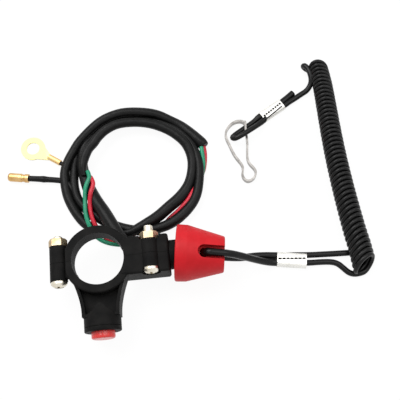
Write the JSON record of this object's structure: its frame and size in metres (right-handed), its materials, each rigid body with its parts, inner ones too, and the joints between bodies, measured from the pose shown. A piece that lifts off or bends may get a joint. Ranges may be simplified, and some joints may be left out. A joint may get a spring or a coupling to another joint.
{
  "type": "engine kill switch with lanyard",
  "caption": "Handlebar engine kill switch with a push button, a pull-off tether cap on a coiled lanyard with a snap hook, and a coiled wire harness.",
  "frame": {"origin": "centre of the handlebar clamp's bore, half way through its thickness", "axes": "+Z along the handlebar, +X towards the tether cap, -Y towards the push button; the part lies on a surface 14.5 mm below the origin"},
  "size_m": [0.1626, 0.127, 0.0248],
  "materials": {
    "housing_black": "moulded black plastic, slightly satin",
    "screw_steel": "nickel plated steel",
    "nut_zinc": "yellow zinc plated steel",
    "button_red": "glossy red plastic",
    "cap_red": "matte red plastic",
    "contact_brass": "brass strip and pins",
    "spring_steel": "spring wire",
    "crimp_silver": "bright crimped aluminium",
    "hook_steel": "bent strip steel",
    "lanyard_black": "satin black cord sheath",
    "sleeve_black": "soft black cable sleeving",
    "wire_green": "green wire insulation",
    "wire_red": "red wire insulation",
    "terminal_tin": "pale brass",
    "terminal_brass": "brass"
  },
  "bodies": {
    "housing": {"lower_housing": "housing_black", "upper_housing": "housing_black", "clamp_screw_left": "screw_steel", "clamp_screw_right": "screw_steel", "clamp_nut_left": "nut_zinc", "clamp_nut_right": "nut_zinc", "button_bezel": "housing_black", "button_base": "housing_black", "button_pins": "contact_brass", "button_spring": "spring_steel", "tether_post": "housing_black", "spring_seat": "housing_black", "plunger_spring": "spring_steel", "tether_blade_back": "contact_brass", "tether_blade_front": "contact_brass", "harness_run": "sleeve_black", "harness_coil": "sleeve_black", "sleeve_tail": "sleeve_black", "wire_green_right": "wire_green", "wire_red_right": "wire_red", "wire_green_left": "wire_green", "wire_red_left": "wire_red", "ring_wire": "sleeve_black", "bullet_wire": "sleeve_black", "ring_terminal": "terminal_tin", "bullet_terminal": "terminal_brass"},
    "button": {"kill_button": "button_red", "button_contact": "contact_brass"},
    "plunger": {"plunger": "housing_black", "plunger_bridge": "contact_brass"},
    "tether": {"tether_cap": "cap_red", "lanyard_front": "lanyard_black", "lanyard_back": "lanyard_black", "cap_crimp": "crimp_silver", "lanyard_tail": "lanyard_black", "coil_lead": "lanyard_black", "lanyard_coil": "lanyard_black", "hook_lead": "lanyard_black", "hook_crimp": "crimp_silver", "hook_tail": "lanyard_black", "hook_loop": "lanyard_black"},
    "hook": {"snap_hook": "hook_steel"}
  },
  "joints": [
    {"name": "button_press", "type": "slide", "parent": "housing", "child": "button", "axis": [0, 1, 0], "range_m": [0, 0.0012], "stiffness_N_per_m": 400, "springref_m": -0.002, "deforming": ["button_spring"]},
    {"name": "tether_pull", "type": "slide", "parent": "housing", "child": "tether", "axis": [0.9903, -0.1392, 0], "range_m": [0, 0.02]},
    {"name": "plunger_travel", "type": "slide", "parent": "housing", "child": "plunger", "axis": [1, 0, 0], "range_m": [0, 0.0024], "deforming": ["plunger_spring"]},
    {"name": "hook_swing", "type": "hinge", "parent": "tether", "child": "hook", "pos_m": [0.0714, 0.0613, -0.0132], "axis": [0, 0, 1], "range_deg": [-10, 10]}
  ],
  "couplings": [
    {"joint": "plunger_travel", "follows": "tether_pull", "ratio": 0.12}
  ]
}
